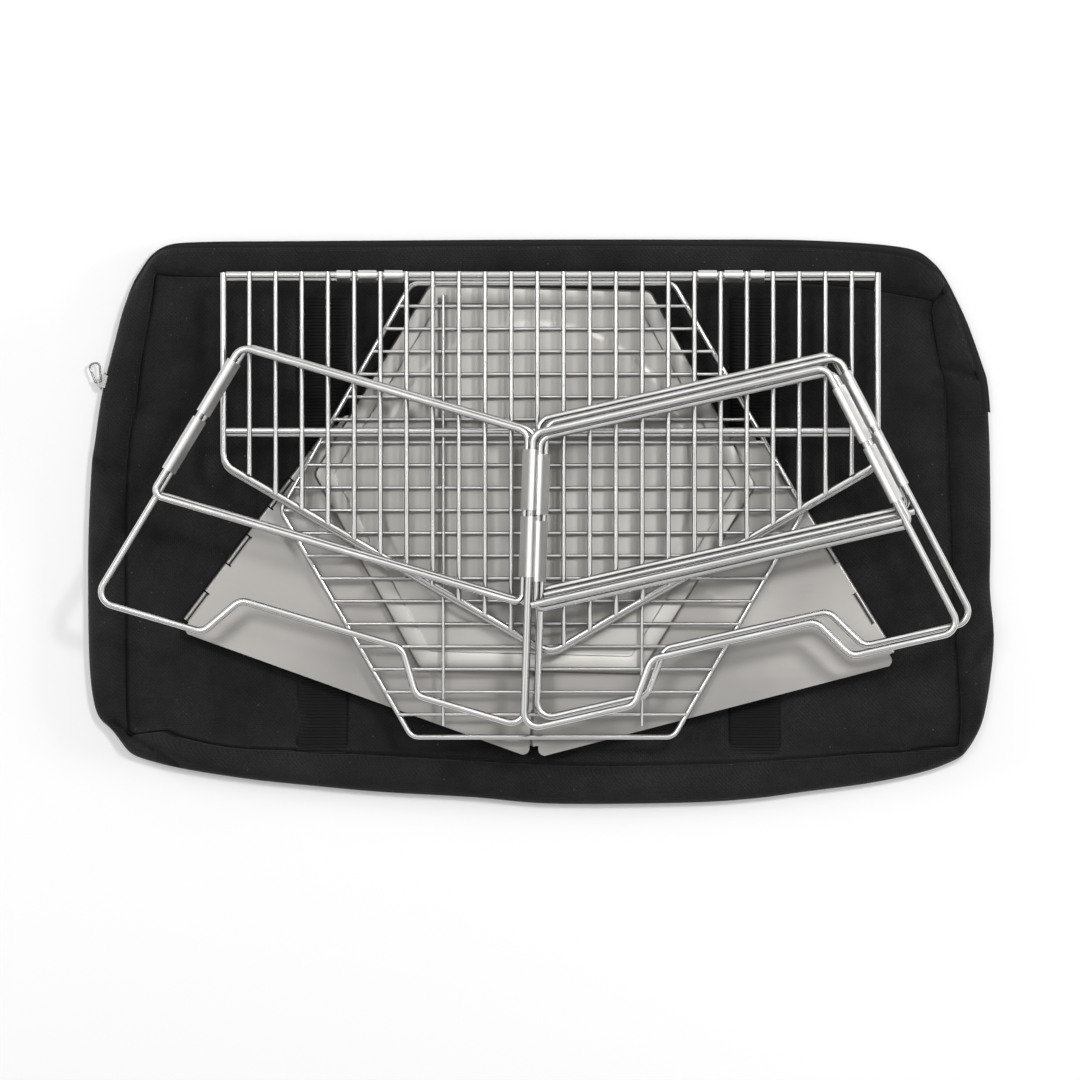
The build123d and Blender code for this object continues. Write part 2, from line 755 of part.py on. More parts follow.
def make_sleeves(leg, short, at_spine, name, is_hook):
    """Two rolled sleeves that join a leg frame's side wire to a short frame's. Hooks stay open on
    the leg frame's side, so that the two can part there."""
    direction = Vector(stand.spine_direction() if at_spine else stand.outer_direction(frame_side[leg]))
    lag = (side_point(short, at_spine, 0) - side_point(leg, at_spine, 0)).dot(direction)
    first = max(sleeve_start, sleeve_start - lag)
    play = hook_play if is_hook else sleeve_play
    with BuildPart() as sleeves:
        for i in range(2):
            s = first + i * (sleeve_length + sleeve_space)
            pivot = side_point(short, at_spine, s)
            partner = side_point(leg, at_spine, s + lag)
            across = partner - pivot
            sleeve_plane = Plane(origin=pivot, x_dir=across, z_dir=direction)
            hole = stand_wire + 2 * play
            with BuildSketch(sleeve_plane):
                with Locations((stand_pitch / 2, 0)):
                    SlotCenterToCenter(stand_pitch, hole + 2 * sleeve_wall)
                    SlotCenterToCenter(stand_pitch, hole, mode=Mode.SUBTRACT)
                if is_hook:
                    with Locations((stand_pitch + hole, 0)):
                        Rectangle(2 * hole, 2 * hole, mode=Mode.SUBTRACT)
            extrude(amount=sleeve_length)
    write(sleeves, name)


make_sleeves(3, 2, True, "sleeves_3_2", False)
make_sleeves(3, 4, False, "sleeves_3_4", False)
make_sleeves(5, 4, True, "sleeves_5_4", False)
make_sleeves(5, 6, False, "sleeves_5_6", False)
make_sleeves(1, 6, True, "sleeves_1_6", False)
make_sleeves(1, 2, False, "hooks_1_2", True)

print("stand fold", round(fold_angle(stand_taper), 2), "bowl fold", round(fold_angle(bowl_taper), 2))
print("pile height", round(frame_height[3] + sleeve_outer, 2))
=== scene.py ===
import math

import bmesh
import bpy
import numpy as np
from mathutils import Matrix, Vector, noise
from mathutils.bvhtree import BVHTree


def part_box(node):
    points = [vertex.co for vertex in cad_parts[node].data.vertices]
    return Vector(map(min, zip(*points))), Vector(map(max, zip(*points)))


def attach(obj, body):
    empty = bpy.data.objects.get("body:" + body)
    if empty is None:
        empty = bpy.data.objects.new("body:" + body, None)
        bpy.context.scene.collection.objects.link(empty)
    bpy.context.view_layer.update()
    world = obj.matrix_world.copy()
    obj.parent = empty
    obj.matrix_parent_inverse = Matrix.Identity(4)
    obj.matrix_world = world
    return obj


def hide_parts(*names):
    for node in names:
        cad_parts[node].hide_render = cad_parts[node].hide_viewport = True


mm = 0.001

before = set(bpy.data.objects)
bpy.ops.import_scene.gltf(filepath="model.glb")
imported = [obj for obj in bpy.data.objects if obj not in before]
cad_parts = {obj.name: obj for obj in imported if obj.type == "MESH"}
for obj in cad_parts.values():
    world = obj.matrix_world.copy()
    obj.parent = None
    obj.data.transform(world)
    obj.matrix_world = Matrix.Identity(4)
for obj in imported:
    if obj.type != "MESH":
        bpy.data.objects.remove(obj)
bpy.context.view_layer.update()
print("frame loaded:", len(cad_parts), "nodes")


# small helpers

def linear(hexText):
    channels = [int(hexText[i:i + 2], 16) / 255 for i in (1, 3, 5)]
    return tuple(c / 12.92 if c <= 0.04045 else ((c + 0.055) / 1.055) ** 2.4 for c in channels) + (1.0,)


def addNode(tree, kind, settings=None, links=None):
    # settings: properties by name, inputs by number or name in a dict called "inputs"
    node = tree.nodes.new(kind)
    for key, value in (settings or {}).items():
        if key == "inputs":
            for socket, number in value.items():
                node.inputs[socket].default_value = number
        else:
            setattr(node, key, value)
    for socket, source in (links or {}).items():
        tree.links.new(source, node.inputs[socket])
    return node


def newMaterial(name):
    material = bpy.data.materials.new(name)
    material.use_nodes = True
    tree = material.node_tree
    tree.nodes.clear()
    return material, tree


def closeMaterial(tree, shader):
    addNode(tree, "ShaderNodeOutputMaterial", links={"Surface": shader.outputs[0]})


def setRamp(node, stops):
    ramp = node.color_ramp
    while len(ramp.elements) > 1:
        ramp.elements.remove(ramp.elements[-1])
    for i, (place, colour) in enumerate(stops):
        element = ramp.elements[0] if i == 0 else ramp.elements.new(place)
        element.position = place
        element.color = colour


def grey(value):
    return (value, value, value, 1.0)


def meshPiece(name, verts, faces, body, material):
    mesh = bpy.data.meshes.new(name)
    mesh.from_pydata([tuple(v) for v in verts], [], [tuple(f) for f in faces])
    mesh.update()
    piece = bpy.data.objects.new(name, mesh)
    bpy.context.scene.collection.objects.link(piece)
    mesh.polygons.foreach_set("use_smooth", [True] * len(mesh.polygons))
    mesh.materials.append(material)
    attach(piece, body)
    return piece


# wires: chrome plate on drawn steel wire, which gives the eye a narrow bright line along each; the sides and underside
# carry a painted shade
wireLooks = {"colour": "#f0efed", "paintedSideShade": "#6a6967", "roughness": 0.17, "patch": 25.0}


def makeChromeWire():
    material, tree = newMaterial("chromePlatedWire")
    place = addNode(tree, "ShaderNodeTexCoord").outputs["Object"]
    patches = addNode(
        tree, "ShaderNodeTexNoise", {"inputs": {"Scale": 1 / (wireLooks["patch"] * mm), "Detail": 4.0}},
        {"Vector": place},
    )
    rough = addNode(
        tree, "ShaderNodeMapRange",
        {"inputs": {1: 0.35, 2: 0.7, 3: wireLooks["roughness"] - 0.03, 4: wireLooks["roughness"] + 0.07}},
        {0: patches.outputs[0]},
    )
    # painted shade: the wire's sides and underside are darkened in the colour, standing in for the dark surroundings
    # they would mirror, since real chrome isn't darker there. It goes by the world's up, so it is right only for wires
    # that lie flat
    facing = addNode(tree, "ShaderNodeNewGeometry").outputs["Normal"]
    up = addNode(tree, "ShaderNodeSeparateXYZ", links={0: facing}).outputs[2]
    paintedFlankShade = addNode(tree, "ShaderNodeMapRange", {"inputs": {1: 0.3, 2: 0.6, 3: 0.0, 4: 1.0}}, {0: up})
    colour = addNode(
        tree, "ShaderNodeMix",
        {"data_type": "RGBA", "inputs": {6: linear(wireLooks["paintedSideShade"]), 7: linear(wireLooks["colour"])}},
        {0: paintedFlankShade.outputs[0]},
    )
    shader = addNode(
        tree, "ShaderNodeBsdfPrincipled", {"inputs": {"Metallic": 1.0}},
        {"Base Color": colour.outputs[2], "Roughness": rough.outputs[0]},
    )
    closeMaterial(tree, shader)
    return material


# sheets: stainless steel with a fine brushed grain along the long edge, which blurs what it mirrors
sheetLooks = {"grainAcross": 0.5, "grainAlong": 60.0}


def makeSheetSteel(name, turn, roughness, grainStrength, hexes=("#aaa7a4", "#a19f9b")):
    material, tree = newMaterial(name)
    place = addNode(tree, "ShaderNodeTexCoord").outputs["Object"]
    lined = addNode(
        tree, "ShaderNodeMapping",
        {"inputs": {
            "Rotation": (0, 0, math.radians(-turn)),
            "Scale": (1 / (sheetLooks["grainAlong"] * mm), 1 / (sheetLooks["grainAcross"] * mm), 1.0),
        }},
        {"Vector": place},
    )
    grain = addNode(
        tree, "ShaderNodeTexNoise", {"inputs": {"Scale": 1.0, "Detail": 4.0, "Roughness": 0.6}},
        {"Vector": lined.outputs[0]},
    )
    smudge = addNode(
        tree, "ShaderNodeTexNoise", {"inputs": {"Scale": 1 / (45 * mm), "Detail": 3.0}}, {"Vector": place},
    )
    blend = addNode(
        tree, "ShaderNodeMath", {"operation": "MULTIPLY_ADD", "inputs": {1: 0.6}},
        {0: grain.outputs[0], 2: smudge.outputs[0]},
    )
    rough = addNode(
        tree, "ShaderNodeMapRange",
        {"inputs": {1: 0.55, 2: 1.05, 3: roughness - 0.04, 4: roughness + 0.06}},
        {0: blend.outputs[0]},
    )
    colour = addNode(
        tree, "ShaderNodeMix",
        {"data_type": "RGBA", "inputs": {6: linear(hexes[0]), 7: linear(hexes[1])}},
        {0: smudge.outputs[0]},
    )
    bump = addNode(
        tree, "ShaderNodeBump", {"inputs": {"Strength": grainStrength, "Distance": 0.05 * mm}},
        {"Height": grain.outputs[0]},
    )
    waves = addNode(
        tree, "ShaderNodeTexNoise", {"inputs": {"Scale": 1 / (70 * mm), "Detail": 1.0}}, {"Vector": place},
    )
    dents = addNode(
        tree, "ShaderNodeBump", {"inputs": {"Strength": 0.25, "Distance": 0.5 * mm}},
        {"Height": waves.outputs[0], "Normal": bump.outputs[0]},
    )
    shader = addNode(
        tree, "ShaderNodeBsdfPrincipled",
        {"inputs": {"Metallic": 1.0, "Anisotropic": 0.35}},
        {"Base Color": colour.outputs[2], "Roughness": rough.outputs[0], "Normal": dents.outputs[0]},
    )
    closeMaterial(tree, shader)
    return material


# bag: black polyester, plain weave, the thread lines just show and lint sits on it
clothLooks = {
    "colour": "#121212", "paintedLightPatch": "#272727", "thread": 1.3, "lint": "#5c5c5e", "roughness": 0.8, "sheen": 0.06,
}


def makeBagCloth():
    material, tree = newMaterial("wovenPolyester")
    place = addNode(tree, "ShaderNodeTexCoord").outputs["Object"]
    perThread = 1 / (clothLooks["thread"] * mm)  # drawn coarser than the real 0.5 mm so that it shows
    bands = perThread * 2 * math.pi / 20
    warp = addNode(
        tree, "ShaderNodeTexWave",
        {"bands_direction": "X", "inputs": {"Scale": bands, "Distortion": 0.6, "Detail Scale": 2.0}},
        {"Vector": place},
    )
    weft = addNode(
        tree, "ShaderNodeTexWave",
        {"bands_direction": "Y", "inputs": {"Scale": bands, "Distortion": 0.6, "Detail Scale": 2.0}},
        {"Vector": place},
    )
    weave = addNode(
        tree, "ShaderNodeMath", {"operation": "MAXIMUM"}, {0: warp.outputs["Fac"], 1: weft.outputs["Fac"]},
    )
    # soft lighter patches at random: painted light and shade standing in for the broad shading of the cloth's folds
    lightPatchNoise = addNode(
        tree, "ShaderNodeTexNoise", {"inputs": {"Scale": 1 / (60 * mm), "Detail": 6.0, "Roughness": 0.65}},
        {"Vector": place},
    )
    paintedLightAmount = addNode(
        tree, "ShaderNodeMapRange", {"inputs": {1: 0.35, 2: 0.7, 3: 0.0, 4: 0.9}}, {0: lightPatchNoise.outputs[0]},
    )
    cloth = addNode(
        tree, "ShaderNodeMix",
        {"data_type": "RGBA", "inputs": {6: linear(clothLooks["colour"]), 7: linear(clothLooks["paintedLightPatch"])}},
        {0: paintedLightAmount.outputs[0]},
    )
    specks = addNode(
        tree, "ShaderNodeTexVoronoi", {"inputs": {"Scale": 1 / (9 * mm), "Randomness": 1.0}}, {"Vector": place},
    )
    speckAmount = addNode(
        tree, "ShaderNodeMapRange", {"inputs": {1: 0.07, 2: 0.03, 3: 0.0, 4: 0.55}},
        {0: specks.outputs["Distance"]},
    )
    dusted = addNode(
        tree, "ShaderNodeMix", {"data_type": "RGBA", "inputs": {7: linear(clothLooks["lint"])}},
        {0: speckAmount.outputs[0], 6: cloth.outputs[2]},
    )
    twill = addNode(
        tree, "ShaderNodeTexWave",
        {"bands_direction": "DIAGONAL", "inputs": {"Scale": bands, "Distortion": 1.5, "Detail Scale": 3.0}},
        {"Vector": place},
    )
    yarn = addNode(
        tree, "ShaderNodeTexNoise", {"inputs": {"Scale": 1.3 * perThread, "Detail": 2.0}}, {"Vector": place},
    )
    mottle = addNode(
        tree, "ShaderNodeMath", {"operation": "MULTIPLY_ADD", "inputs": {1: 0.25}},
        {0: twill.outputs["Fac"], 2: yarn.outputs[0]},
    )
    shade = addNode(
        tree, "ShaderNodeMapRange", {"inputs": {1: 0.35, 2: 0.95, 3: 0.6, 4: 1.6}}, {0: mottle.outputs[0]},
    )
    woven = addNode(
        tree, "ShaderNodeMix", {"data_type": "RGBA", "blend_type": "MULTIPLY", "inputs": {0: 1.0}},
        {6: dusted.outputs[2], 7: shade.outputs[0]},
    )
    height = addNode(
        tree, "ShaderNodeMath", {"operation": "ADD"}, {0: yarn.outputs[0], 1: weave.outputs[0]},
    )
    bump = addNode(
        tree, "ShaderNodeBump", {"inputs": {"Strength": 0.7, "Distance": 0.3 * mm}},
        {"Height": height.outputs[0]},
    )
    shader = addNode(
        tree, "ShaderNodeBsdfPrincipled",
        {"inputs": {
            "Roughness": clothLooks["roughness"], "Sheen Weight": clothLooks["sheen"], "Sheen Roughness": 0.5,
            "Specular IOR Level": 0.22,
        }},
        {"Base Color": woven.outputs[2], "Normal": bump.outputs[0]},
    )
    closeMaterial(tree, shader)
    return material


# straps, zip coil, zip tape and thread: nylon or polyester yarn, dull black with a faint fibre grain
def makeYarn(name, hexText, roughness, grain):
    material, tree = newMaterial(name)
    place = addNode(tree, "ShaderNodeTexCoord").outputs["Object"]
    fibre = addNode(
        tree, "ShaderNodeTexNoise", {"inputs": {"Scale": 1 / (grain * mm), "Detail": 3.0}}, {"Vector": place},
    )
    dark = linear(hexText)
    light = tuple(1.8 * channel for channel in dark[:3]) + (1.0,)
    colour = addNode(
        tree, "ShaderNodeMix", {"data_type": "RGBA", "inputs": {6: dark, 7: light}}, {0: fibre.outputs[0]},
    )
    bump = addNode(
        tree, "ShaderNodeBump", {"inputs": {"Strength": 0.4, "Distance": 0.1 * mm}}, {"Height": fibre.outputs[0]},
    )
    shader = addNode(
        tree, "ShaderNodeBsdfPrincipled",
        {"inputs": {"Roughness": roughness, "Specular IOR Level": 0.25, "Sheen Weight": 0.03}},
        {"Base Color": colour.outputs[2], "Normal": bump.outputs[0]},
    )
    closeMaterial(tree, shader)
    return material


def makeDarkNickel():
    # zip slider and pull: die-cast zinc plated with dark nickel, a little dull
    material, tree = newMaterial("darkNickelPlate")
    place = addNode(tree, "ShaderNodeTexCoord").outputs["Object"]
    cast = addNode(
        tree, "ShaderNodeTexNoise", {"inputs": {"Scale": 1 / (1.2 * mm), "Detail": 3.0}}, {"Vector": place},
    )
    rough = addNode(tree, "ShaderNodeMapRange", {"inputs": {1: 0.3, 2: 0.7, 3: 0.2, 4: 0.36}}, {0: cast.outputs[0]})
    shader = addNode(
        tree, "ShaderNodeBsdfPrincipled", {"inputs": {"Base Color": linear("#8d8b88"), "Metallic": 1.0}},
        {"Roughness": rough.outputs[0]},
    )
    closeMaterial(tree, shader)
    return material


chromeWire = makeChromeWire()
rightSheet = makeSheetSteel("brushedStainlessRight", 14.6, 0.33, 0.04)
leftSheet = makeSheetSteel("brushedStainlessLeft", -19.8, 0.33, 0.04)
traySheet = makeSheetSteel("brushedStainlessTray", 88.5, 0.46, 0.04, ("#b4b2ae", "#aba9a5"))
# the sleeves' and clips' stainless is drawn far paler than stainless is: painted light, so that the curved pieces look
# bright
rolledSheetPaintedLight = makeSheetSteel("rolledStainlessPaintedLight", 62.0, 0.4, 0.0, ("#f4f3f1", "#e6e4e2"))
bagCloth = makeBagCloth()
webbing = makeYarn("nylonWebbing", "#080808", 0.7, 0.5)
zipTapeCloth = makeYarn("zipTapeTwill", "#0d0d0d", 0.85, 0.4)
coilNylon = makeYarn("zipCoilNylon", "#0b0b0b", 0.6, 1.5)
topThread = makeYarn("polyesterThread", "#1a1a1a", 0.6, 0.4)
darkNickel = makeDarkNickel()
print("materials made")

# the metal nodes of the frame keep their shapes and get these finishes
finishes = {
    "bowl_petal_1": leftSheet, "bowl_petal_2": leftSheet, "base_tray": traySheet, "zip_slider": darkNickel,
    "zip_pull": darkNickel,
}
for nodeName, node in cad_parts.items():
    finish = finishes.get(nodeName)
    if finish is None:
        if nodeName.startswith("bowl"):
            finish = rightSheet
        elif nodeName.startswith(("sleeves", "hooks", "cook_clip")):
            finish = rolledSheetPaintedLight
        else:
            finish = chromeWire
    node.data.materials.clear()
    node.data.materials.append(finish)

# tray: one pressed sheet with a turned-down lip, a flat band all round and a low round step in the middle
trayShape = {
    "centre": (-3.8, 26.3), "turn": -1.5, "side": 140.0, "corner": 5.0, "sheet": 0.8,
    # rim is inset from the edge and height, step is radius and height
    "rim": [(0.0, 0.8), (0.45, 2.8), (0.8, 4.3), (0.95, 4.75), (1.2, 4.98), (1.6, 5.06), (5.0, 5.06), (10.9, 5.06),
            (11.1, 5.02), (11.4, 4.86), (11.7, 4.7), (11.9, 4.66), (13.0, 4.66)],
    "step": [(102.0, 4.66), (100.4, 4.67), (99.6, 4.71), (98.6, 4.82), (97.8, 4.94), (97.0, 4.99), (96.0, 5.0),
             (80.0, 5.0), (50.0, 5.0), (20.0, 5.0), (2.0, 5.0)],
}


def roundedHexagon(inset, radius):
    # the hexagon's outline drawn in by inset, in mm round its middle
    apothem = trayShape["side"] * math.cos(math.radians(30)) - inset
    reach = (apothem - radius) / math.cos(math.radians(30))

    def onCorner(middle, a):
        return reach * math.cos(middle) + radius * math.cos(a), reach * math.sin(middle) + radius * math.sin(a)

    points = []
    for corner in range(6):
        middle = math.radians(60 * corner)
        points += [onCorner(middle, middle + math.radians(6 * k - 30)) for k in range(11)]
        last, nextMiddle = points[-1], math.radians(60 * (corner + 1))
        end = onCorner(nextMiddle, nextMiddle - math.radians(30))
        points += [tuple(last[i] + (end[i] - last[i]) * k / 20 for i in (0, 1)) for k in range(1, 20)]
    return points


def makeTray():
    rings = []
    for inset, height in trayShape["rim"]:
        rings.append((roundedHexagon(inset, max(3.0, trayShape["corner"] - 0.3 * inset)), height))
    angles = [math.atan2(y, x) for x, y in rings[-1][0]]
    for radius, height in trayShape["step"]:
        rings.append(([(radius * math.cos(a), radius * math.sin(a)) for a in angles], height))
    count = len(angles)
    levels = [(ring, height - trayShape["sheet"]) for ring, height in reversed(rings)] + rings
    turn, (cx, cy) = math.radians(trayShape["turn"]), trayShape["centre"]
    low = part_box("base_tray")[0][2]
    verts = []
    for ring, height in levels:
        for x, y in ring:
            verts.append((
                (cx + x * math.cos(turn) - y * math.sin(turn)) * mm,
                (cy + x * math.sin(turn) + y * math.cos(turn)) * mm,
                low + height * mm,
            ))
    faces = []
    for r in range(len(levels) - 1):
        for i in range(count):
            j = (i + 1) % count
            faces.append((r * count + i, r * count + j, (r + 1) * count + j, (r + 1) * count + i))
    faces.append(list(reversed(range(count))))
    faces.append(list(range((len(levels) - 1) * count, len(levels) * count)))
    tray = meshPiece("pressedTray", verts, faces, "tray", traySheet)
    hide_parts("base_tray")


makeTray()
print("tray made")

# bag: outline and seam as seen from above, in mm, side by side from the back round by the left
bagShape = {
    "outer": [
        [(256, 151), (247, 163), (229, 172), (168, 176.5), (88, 177), (0, 177), (-80, 176.5), (-152, 176),
         (-212, 175.5), (-236, 173.5), (-247, 166)],
        [(-247, 166), (-257, 150), (-264, 135), (-272, 104), (-278, 79), (-282.5, 48), (-284, 38), (-286, 0),
         (-286.5, -38), (-285.5, -92), (-281, -121), (-272, -131), (-265, -140)],
        [(-265, -140), (-259, -147), (-245, -152), (-223, -157), (-184, -163), (-151, -166.5), (-102, -171),
         (-42, -174.5), (7, -178.5), (88, -178), (132, -175.5), (168, -170.8), (209, -165.3), (245, -157.5),
         (267, -148.5)],
        [(267, -148), (274, -138), (280, -124), (284.5, -98), (286.5, -72), (284, -42), (284.5, -10), (284, 38),
         (283, 66), (281, 88), (278, 98), (268, 126), (256, 151)],
    ],
    "seam": [
        [(249, 139.5), (230, 143), (190, 149), (120, 153), (60, 154.5), (0, 154.5), (-120, 154.5), (-225, 155),
         (-244, 157)],
        [(-244, 157), (-246.5, 137), (-252, 106), (-256, 74), (-260.5, 50), (-263, 2), (-263, -60), (-262, -126),
         (-259.5, -135)],
        [(-259.5, -135), (-237, -132.5), (-229, -136), (-195, -143), (-153, -144.8), (-77, -149), (19, -154),
         (107, -153), (152, -150.6), (206, -146.5), (232, -145.5), (246, -143), (264, -142.5)],
        [(264, -142.5), (265, -118), (262, -70), (260, -24), (258, 42), (256, 84), (251, 106), (247, 131),
         (249, 139.5)],
    ],
    "columns": [330, 220, 340, 220],
    "seamHeight": 7.6, "seamDepth": 2.6, "seamWidth": 1.0, "crestHeight": 13.0, "panelHeight": 9.5,
    "foldScale": 1.9,
    # share of the way from seam to edge, and rise from the seam's height to the crest's
    "band": [(0.015, -0.2), (0.03, 0.12), (0.05, 0.3), (0.1, 0.52), (0.18, 0.75), (0.28, 0.9), (0.4, 0.98), (0.52, 1.0),
             (0.64, 0.98), (0.75, 0.93), (0.85, 0.82), (0.92, 0.66), (0.97, 0.45), (0.995, 0.2)],
    # share of the way from seam to edge, and height, down and under to the ground
    "under": [(1.0, 5.0), (0.99, 3.2), (0.95, 1.4), (0.86, 0.35), (0.7, 0.05), (0.0, 0.05)],
}

# folds: from, to, half width and height in mm; a negative height is a crease, a positive one a ridge
bagFolds = [
    ((-284, 41), (-265, 29), 2.2, -2.6), ((-283, 47), (-268, 38), 4.5, 1.3), ((-268.5, 18), (-269, -24), 3.0, -1.0),
    ((-282, 30), (-270, 5), 4.0, 0.9), ((-256, 70), (-244, 76), 2.0, -0.9), ((-275, -20), (-276, -80), 5.0, -0.8),
    ((-270, -127), (-260, -135.5), 1.8, -2.6), ((-260, -136), (-229, -154), 1.7, -3.0),
    ((-262, -141), (-236, -154), 4.0, 1.6), ((-246, -139), (-215, -151), 5.0, 1.2),
    ((-237, -133), (-228, -136.5), 1.6, -1.4), ((-258, -128), (-240, -127), 5.0, -0.8),
    ((285, -67), (270, -93), 4.0, -1.8), ((283, -86), (268, -98), 3.5, 1.4), ((284, -48), (274, -60), 4.0, 0.9),
    ((262, -141), (232, -145), 1.6, -1.2), ((270, -140), (247, -152), 4.0, 1.0), ((275, -120), (268, -138), 4.0, -1.0),
    ((230, -140), (205, -137), 6.0, 1.0), ((262, -144), (269, -147), 1.6, -2.0),
    ((249, 139.5), (256, 148), 1.6, -2.6), ((236, 150), (251, 147), 5.0, 1.4), ((262, 130), (258, 112), 5.0, 0.9),
    ((252, 98), (265, 93), 2.2, -2.0), ((265, 93), (280, 92), 2.2, -2.0), ((262, 103), (276, 101), 5.0, 1.2),
    ((256, 85), (244, 88), 2.0, -1.3), ((250, 78), (232, 84), 6.0, 1.0), ((240, 130), (226, 96), 9.0, 1.0),
    ((247, 136), (238, 127), 3.0, -0.8), ((-243, 150), (-225, 118), 9.0, 0.8), ((-250, 100), (-236, 60), 8.0, 0.6),
    ((-240, -60), (-215, -100), 10.0, 0.8), ((-200, -110), (-150, -125), 9.0, 0.6), ((60, -150), (20, -140), 7.0, 0.5),
    ((170, -135), (215, -120), 10.0, 0.7), ((-100, -160), (-60, -163), 7.0, 0.9), ((20, -165), (80, -166), 8.0, 0.8),
    ((150, -160), (120, -164), 6.0, -0.7), ((-180, -153), (-205, -150), 5.0, -0.7), ((240, 40), (248, -20), 9.0, 0.5),
]


def smoothLine(points, count):
    # Catmull-Rom through the points, then spaced evenly
    pts = np.array([points[0]] + list(points) + [points[-1]], float)
    fine = []
    for i in range(1, len(pts) - 2):
        p0, p1, p2, p3 = pts[i - 1:i + 3]
        t = np.linspace(0, 1, 24, endpoint=False)[:, None]
        fine.append(0.5 * (2 * p1 + (p2 - p0) * t + (2 * p0 - 5 * p1 + 4 * p2 - p3) * t**2
                           + (3 * p1 - p0 - 3 * p2 + p3) * t**3))
    fine = np.vstack(fine + [pts[-1:]])
    run = np.concatenate([[0], np.cumsum(np.hypot(*np.diff(fine, axis=0).T))])
    at = np.linspace(0, run[-1], count, endpoint=False)
    return np.stack([np.interp(at, run, fine[:, k]) for k in (0, 1)], 1)


def softClosed(line, passes):
    for _ in range(passes):
        line = 0.25 * np.roll(line, 1, axis=0) + 0.5 * line + 0.25 * np.roll(line, -1, axis=0)
    return line


bagOuter = softClosed(np.vstack([smoothLine(p, n) for p, n in zip(bagShape["outer"], bagShape["columns"])]), 6)
bagSeam = softClosed(np.vstack([smoothLine(p, n) for p, n in zip(bagShape["seam"], bagShape["columns"])]), 2)


def foldHeight(xy):
    z = np.zeros(len(xy))
    for start, end, width, height in bagFolds:
        a, b = np.array(start, float), np.array(end, float)
        along = b - a
        length = np.hypot(*along)
        t = ((xy - a) @ along) / length**2
        nearest = a + np.clip(t, 0, 1)[:, None] * along
        away = np.hypot(*(xy - nearest).T)
        z += height * np.exp(-(away / width) ** 1.5) * np.clip(1.2 - 0.5 * np.abs(2 * t - 1), 0, 1)
    return bagShape["foldScale"] * z


def unevenness(xy, size, seed):
    return np.array([noise.noise(Vector((x / size, y / size, seed))) for x, y in xy])


def panelHeight(xy):
    # height of the cloth's top inside the seam, away from the seam itself
    return bagShape["panelHeight"] + 0.45 * unevenness(xy, 38, 1.5) + 0.2 * unevenness(xy, 13, 7.5)


def makeBag():
    count = len(bagOuter)
    run = np.concatenate([[0], np.cumsum(np.hypot(*np.diff(bagOuter, axis=0).T))])
    pucker = 0.5 * np.sin(run / 5.2 + 2.5 * np.sin(run / 47)) + 0.35 * np.sin(run / 2.9 + 1.7 * np.sin(run / 31))
    high, low = bagShape["crestHeight"], bagShape["seamHeight"]
    middle = bagSeam.mean(axis=0)
    depth = bagShape["seamDepth"] * np.interp(bagSeam[:, 1], [-150.0, -138.0], [0.4, 1.0])
    rings = []
    # panel from the middle out to the seam
    nearSeam = [0.92, 0.94, 0.955, 0.968, 0.978, 0.985, 0.99, 0.994, 0.997]
    for share in np.concatenate([np.linspace(0.03, 0.9, 34), nearSeam]):
        xy = middle + share * (bagSeam - middle)
        gap = np.hypot(*(bagSeam - xy).T)
        z = panelHeight(xy) + foldHeight(xy)
        z += (low - bagShape["panelHeight"]) * np.exp(-gap / 6.0) + 0.5 * pucker * np.exp(-gap / 5.0)
        z += 0.9 * np.exp(-((gap - 2.6) / 1.6) ** 2) - depth * np.exp(-(gap / bagShape["seamWidth"]) ** 2)
        rings.append((xy, z))
    rings.append((bagSeam, low - depth + 0.25 * pucker))
    # gusset band over the crest and down to the ground
    for share, rise in bagShape["band"]:
        xy = bagSeam + share * (bagOuter - bagSeam)
        z = low + (high - low) * rise + foldHeight(xy) * min(1, 4 * rise)
        z += 0.6 * pucker * math.exp(-share * 9) + 0.5 * unevenness(xy, 26, 3.3) * rise
        if rise < 0.9 and share > 0.8:
            z = np.minimum(z, 5.2 + (high - 5.2) * rise)
        rings.append((xy, z))
    for share, z in bagShape["under"]:
        rings.append((bagSeam + share * (bagOuter - bagSeam), np.full(count, z)))
    for share in (0.8, 0.4, 0.03):
        rings.append((middle + share * (bagSeam - middle), np.full(count, 0.05)))
    verts = np.vstack([np.column_stack([xy, z]) for xy, z in rings]) * mm
    faces = []
    for r in range(len(rings) - 1):
        a, b = r * count, (r + 1) * count
        for i in range(count):
            j = (i + 1) % count
            faces.append((a + i, b + i, b + j, a + j))
    faces.append(list(range(count)))
    faces.append(list(reversed(range((len(rings) - 1) * count, len(rings) * count))))
    bag = meshPiece("bagShell", verts, faces, "bag", bagCloth)
    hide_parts("bag_back_panel", "bag_front_panel", "bag_gusset")
    return bag


bagShell = makeBag()
print("bag shell made")

# straps: nylon webbing with a rib across it every 2 mm, sewn down under the bottom seam
strapLooks = {
    "width": 33.0, "rib": 2.1, "ribHeight": 0.5, "top": 10.7, "under": 8.6, "front": -149.0, "back": 142.0,
    "spacing": 0.42, "columns": 14, "places": {"left": -138.5, "right": 135.5},
}


